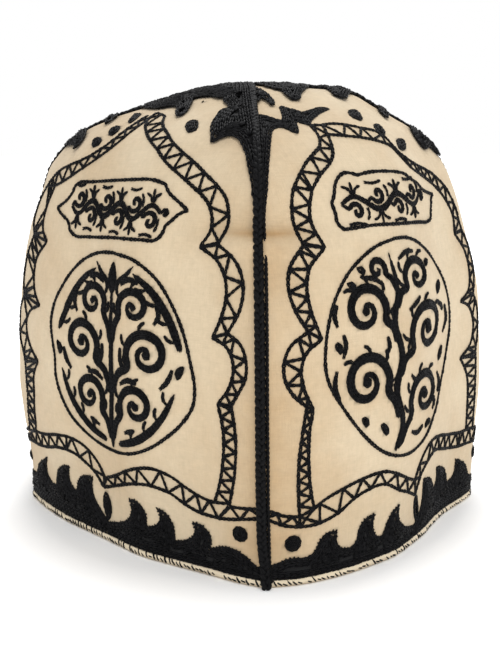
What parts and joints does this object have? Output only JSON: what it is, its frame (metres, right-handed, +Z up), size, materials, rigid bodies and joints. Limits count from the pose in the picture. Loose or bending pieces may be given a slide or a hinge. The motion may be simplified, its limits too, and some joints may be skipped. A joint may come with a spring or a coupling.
{
  "type": "dervish cap",
  "caption": "Tall four-gore cotton dervish cap with black embroidery, a braid over each seam and a rolled rim binding, standing on its rim.",
  "frame": {"origin": "on the surface under the rim, below the middle of the cap's bounding box", "axes": "+Z up to the apex, -Y towards the front seam, +X to the right as the front seam is looked at"},
  "size_m": [0.2008, 0.2045, 0.1779],
  "materials": {
    "cap_cotton": "undyed plain-weave cotton, matt",
    "black_thread": "plaited and stitched black cotton thread",
    "binding_cotton": "rolled cotton binding, whip stitched"
  },
  "bodies": {
    "root": {"gore_front_left": "cap_cotton", "gore_front_right": "cap_cotton", "gore_back_left": "cap_cotton", "gore_back_right": "cap_cotton", "seam_braid_front_back": "black_thread", "seam_braid_left": "black_thread", "seam_braid_right": "black_thread", "rim_binding": "binding_cotton"}
  },
  "joints": []
}
